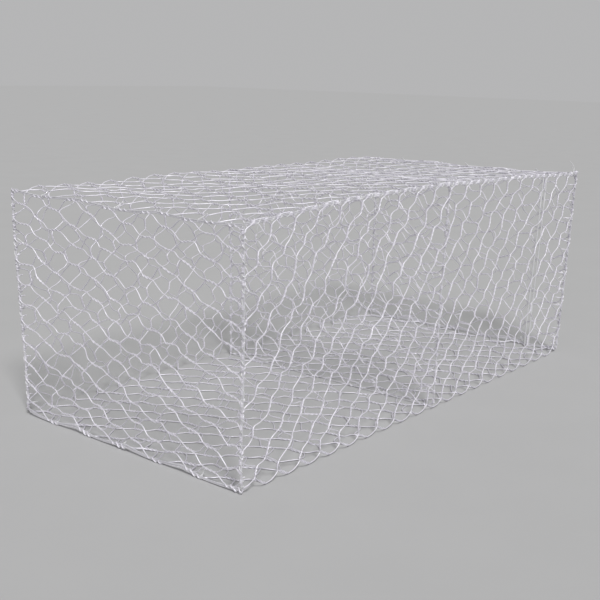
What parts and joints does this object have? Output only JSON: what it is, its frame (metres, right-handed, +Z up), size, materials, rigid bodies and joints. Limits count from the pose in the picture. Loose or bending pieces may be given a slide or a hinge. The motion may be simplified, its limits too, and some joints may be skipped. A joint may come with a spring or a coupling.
{
  "type": "gabion basket",
  "caption": "Empty box of double-twist hexagonal steel wire mesh with a lid laced shut and one mesh diaphragm across its middle, made to hold stones.",
  "frame": {"origin": "on the ground, under the middle of the basket", "axes": "+X along the basket's length, +Y from the laced front to the folded back, +Z up"},
  "size_m": [2.0068, 1.0059, 0.8019],
  "materials": {
    "mesh_wire": "hot-dip galvanised, dull bright",
    "edge_wire": "hot-dip galvanised, dull bright",
    "lacing_wire": "hot-dip galvanised, dull bright"
  },
  "bodies": {
    "root": {"front_mesh": "mesh_wire", "base_mesh": "mesh_wire", "back_mesh": "mesh_wire", "lid_mesh": "mesh_wire", "end_left_mesh": "mesh_wire", "end_right_mesh": "mesh_wire", "diaphragm_mesh": "mesh_wire", "end_left_bottom_wire": "edge_wire", "end_left_top_wire": "edge_wire", "end_left_front_wire": "edge_wire", "end_left_back_wire": "edge_wire", "end_right_bottom_wire": "edge_wire", "end_right_top_wire": "edge_wire", "end_right_front_wire": "edge_wire", "end_right_back_wire": "edge_wire", "diaphragm_bottom_wire": "edge_wire", "diaphragm_top_wire": "edge_wire", "diaphragm_front_wire": "edge_wire", "diaphragm_back_wire": "edge_wire", "front_top_edge_wire": "edge_wire", "lid_front_edge_wire": "edge_wire", "sheet_left_selvedge_wire": "edge_wire", "sheet_right_selvedge_wire": "edge_wire", "lid_front_lacing": "lacing_wire", "corner_lacing_front_left": "lacing_wire", "corner_lacing_front_right": "lacing_wire", "corner_lacing_back_left": "lacing_wire", "corner_lacing_back_right": "lacing_wire", "end_left_bottom_ties": "lacing_wire", "end_right_bottom_ties": "lacing_wire", "lid_left_ties": "lacing_wire", "lid_right_ties": "lacing_wire", "lid_diaphragm_ties": "lacing_wire", "diaphragm_front_ties": "lacing_wire", "diaphragm_back_ties": "lacing_wire"}
  },
  "joints": []
}
